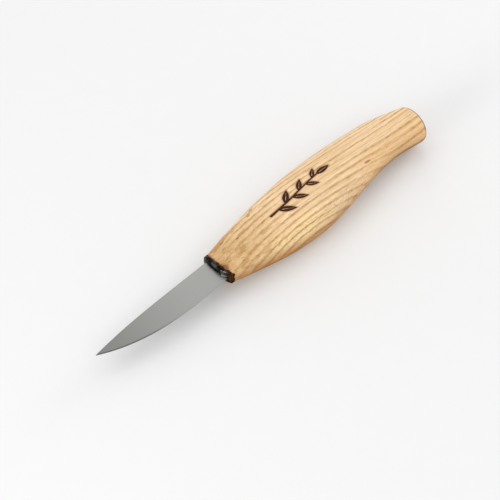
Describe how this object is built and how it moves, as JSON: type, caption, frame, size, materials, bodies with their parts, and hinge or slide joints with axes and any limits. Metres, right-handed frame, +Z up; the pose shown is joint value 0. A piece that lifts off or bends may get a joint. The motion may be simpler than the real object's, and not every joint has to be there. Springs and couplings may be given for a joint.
{
  "type": "whittling knife",
  "caption": "Fixed-blade whittling knife with a narrow flat-ground steel blade glued by a hidden tang into a curved one-piece ash handle, with a dark resin collar at its mouth.",
  "frame": {"origin": "on the surface that the knife lies on, under the middle of its length and width", "axes": "+X from the tip to the butt, +Y from the cutting edge to the spine, +Z up from the side that the knife lies on"},
  "size_m": [0.19, 0.0308, 0.019],
  "materials": {
    "ash_wood": "smooth sanded ash with a thin wax or oil",
    "tool_steel": "fine satin grind",
    "epoxy": "cured epoxy, hidden inside the handle",
    "dark_resin": "near-black brown resin, glossy and slightly lumpy"
  },
  "bodies": {
    "root": {"handle": "ash_wood", "blade": "tool_steel", "tang_adhesive": "epoxy", "resin_collar": "dark_resin"}
  },
  "joints": []
}
